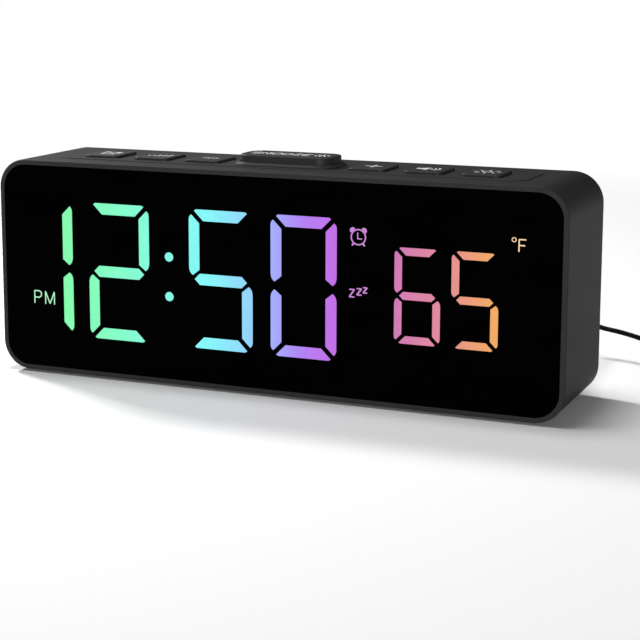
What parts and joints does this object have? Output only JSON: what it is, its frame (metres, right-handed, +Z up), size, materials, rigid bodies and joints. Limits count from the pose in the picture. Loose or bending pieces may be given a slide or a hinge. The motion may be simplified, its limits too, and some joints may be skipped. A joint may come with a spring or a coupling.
{
  "type": "digital clock",
  "caption": "Low box-shaped digital clock with a dark front lens, seven-segment light box, raised key strip, snooze bar, rear speaker and a coiled power lead.",
  "frame": {"origin": "bottom centre of the clock without its lead, on the table under the middle of the case", "axes": "+X to the right along the front as the reader sees it, +Y from the front lens to the rear cover, +Z up"},
  "size_m": [0.2674, 0.0992, 0.0738],
  "materials": {
    "case_plastic": "fine matt texture, dark charcoal",
    "key_plastic": "fine matt texture, dark charcoal",
    "smoked_lens": "polished, smoked black",
    "milky_film": "milky, translucent film",
    "white_plastic": "matt white",
    "board": "lacquered glass-fibre board",
    "ribbon": "glossy film",
    "switch_black": "plain moulded",
    "plunger_amber": "plain moulded",
    "screw_steel": "zinc plated",
    "nickel": "nickel plated, bright",
    "foot_rubber": "matt black",
    "cord_black": "soft matt black jacket"
  },
  "bodies": {
    "housing": {"case": "case_plastic", "front_lens": "smoked_lens", "light_diffuser": "milky_film", "light_box": "white_plastic", "display_board": "board", "key_board": "board", "key_ribbon": "ribbon", "switch_alarm": "switch_black", "switch_set": "switch_black", "switch_minus": "switch_black", "switch_plus": "switch_black", "switch_volume": "switch_black", "switch_brightness": "switch_black", "switch_snooze": "switch_black", "rear_cover": "case_plastic", "coin_cell": "nickel", "cell_contact_minus": "nickel", "cell_contact_plus": "nickel", "speaker": "switch_black", "dc_jack": "switch_black", "temperature_sensor": "switch_black", "display_screw_1": "screw_steel", "display_screw_2": "screw_steel", "display_screw_3": "screw_steel", "display_screw_4": "screw_steel", "cover_screw_1": "screw_steel", "cover_screw_2": "screw_steel", "cover_screw_3": "screw_steel", "cover_screw_4": "screw_steel", "key_board_screw_1": "screw_steel", "key_board_screw_2": "screw_steel", "foot_1": "foot_rubber", "foot_2": "foot_rubber", "foot_3": "foot_rubber", "foot_4": "foot_rubber", "dc_plug_barrel": "nickel", "dc_plug_grip": "cord_black", "cord_lead": "cord_black", "cord_coil": "cord_black", "cord_tail": "cord_black", "cord_tie": "cord_black", "usb_plug_grip": "cord_black", "usb_plug_shell": "nickel"},
    "key_alarm": {"key_alarm": "key_plastic", "plunger_alarm": "plunger_amber"},
    "key_set": {"key_set": "key_plastic", "plunger_set": "plunger_amber"},
    "key_minus": {"key_minus": "key_plastic", "plunger_minus": "plunger_amber"},
    "key_plus": {"key_plus": "key_plastic", "plunger_plus": "plunger_amber"},
    "key_volume": {"key_volume": "key_plastic", "plunger_volume": "plunger_amber"},
    "key_brightness": {"key_brightness": "key_plastic", "plunger_brightness": "plunger_amber"},
    "snooze": {"snooze_bar": "key_plastic", "plunger_snooze": "plunger_amber"},
    "battery_door": {"battery_door": "case_plastic"}
  },
  "joints": [
    {"name": "alarm_press", "type": "slide", "parent": "housing", "child": "key_alarm", "axis": [0, 0, -1], "range_m": [0, 0.0004], "stiffness_N_per_m": 4000},
    {"name": "set_press", "type": "slide", "parent": "housing", "child": "key_set", "axis": [0, 0, -1], "range_m": [0, 0.0004], "stiffness_N_per_m": 4000},
    {"name": "minus_press", "type": "slide", "parent": "housing", "child": "key_minus", "axis": [0, 0, -1], "range_m": [0, 0.0004], "stiffness_N_per_m": 4000},
    {"name": "plus_press", "type": "slide", "parent": "housing", "child": "key_plus", "axis": [0, 0, -1], "range_m": [0, 0.0004], "stiffness_N_per_m": 4000},
    {"name": "volume_press", "type": "slide", "parent": "housing", "child": "key_volume", "axis": [0, 0, -1], "range_m": [0, 0.0004], "stiffness_N_per_m": 4000},
    {"name": "brightness_press", "type": "slide", "parent": "housing", "child": "key_brightness", "axis": [0, 0, -1], "range_m": [0, 0.0004], "stiffness_N_per_m": 4000},
    {"name": "snooze_press", "type": "slide", "parent": "housing", "child": "snooze", "axis": [0, 0, -1], "range_m": [0, 0.0006], "stiffness_N_per_m": 3300},
    {"name": "battery_door_hinge", "type": "hinge", "parent": "housing", "child": "battery_door", "pos_m": [0.008, 0.0207, 0.0215], "axis": [-1, 0, 0], "range_deg": [0, 75]}
  ]
}
